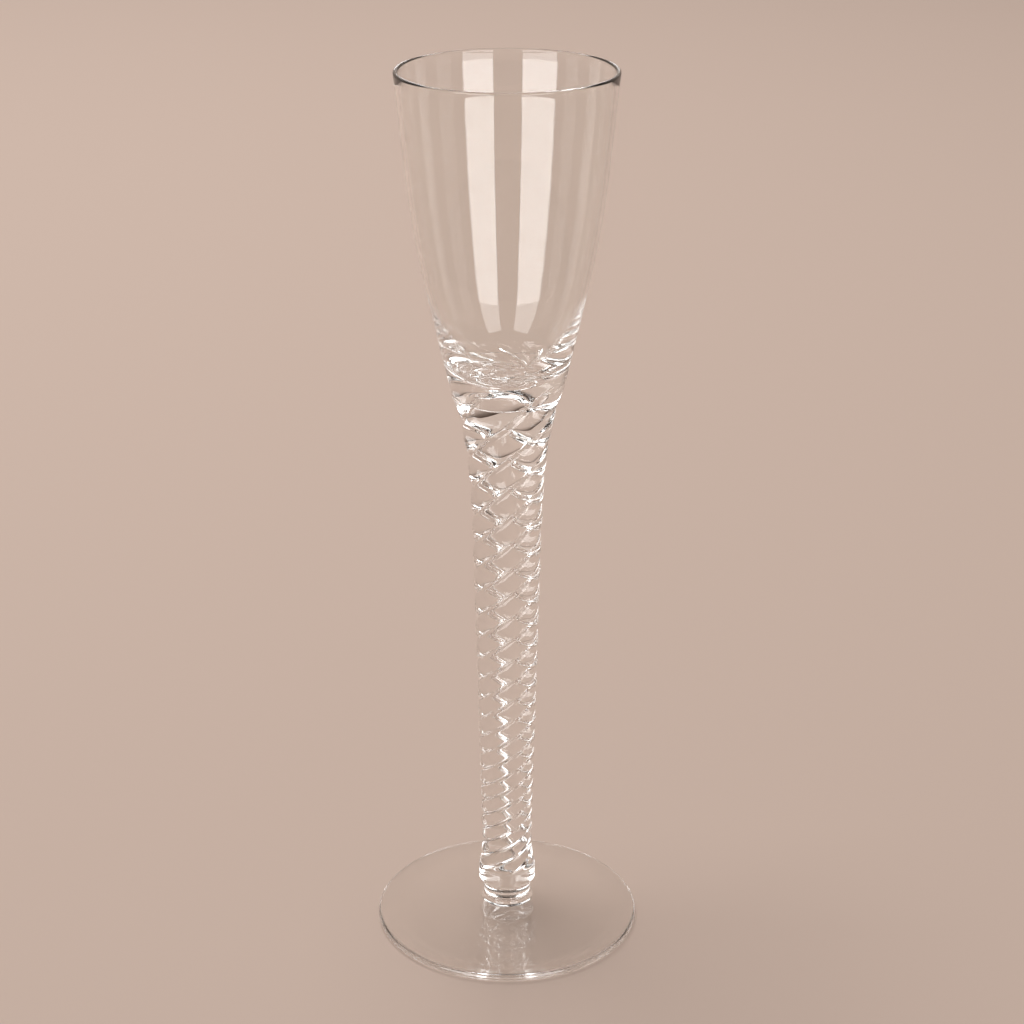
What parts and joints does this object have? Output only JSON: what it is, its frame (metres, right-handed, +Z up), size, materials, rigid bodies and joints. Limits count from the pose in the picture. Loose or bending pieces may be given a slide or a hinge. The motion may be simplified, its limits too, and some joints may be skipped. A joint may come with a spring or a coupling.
{
  "type": "schnapps glass",
  "caption": "Tall slim schnapps glass of clear glass: a thin-walled funnel bowl on a solid stem of twisted strands, with a small collar and a flat round foot.",
  "frame": {"origin": "centre of the foot's underside, on the surface that the glass stands on", "axes": "+Z up along the glass's axis, -Y towards the viewer of the picture, +X to the viewer's right"},
  "size_m": [0.0546, 0.0546, 0.18],
  "materials": {
    "clear_glass": "clear, colourless, fire-polished"
  },
  "bodies": {
    "root": {"foot": "clear_glass", "collar": "clear_glass", "stem": "clear_glass", "bowl": "clear_glass"}
  },
  "joints": []
}
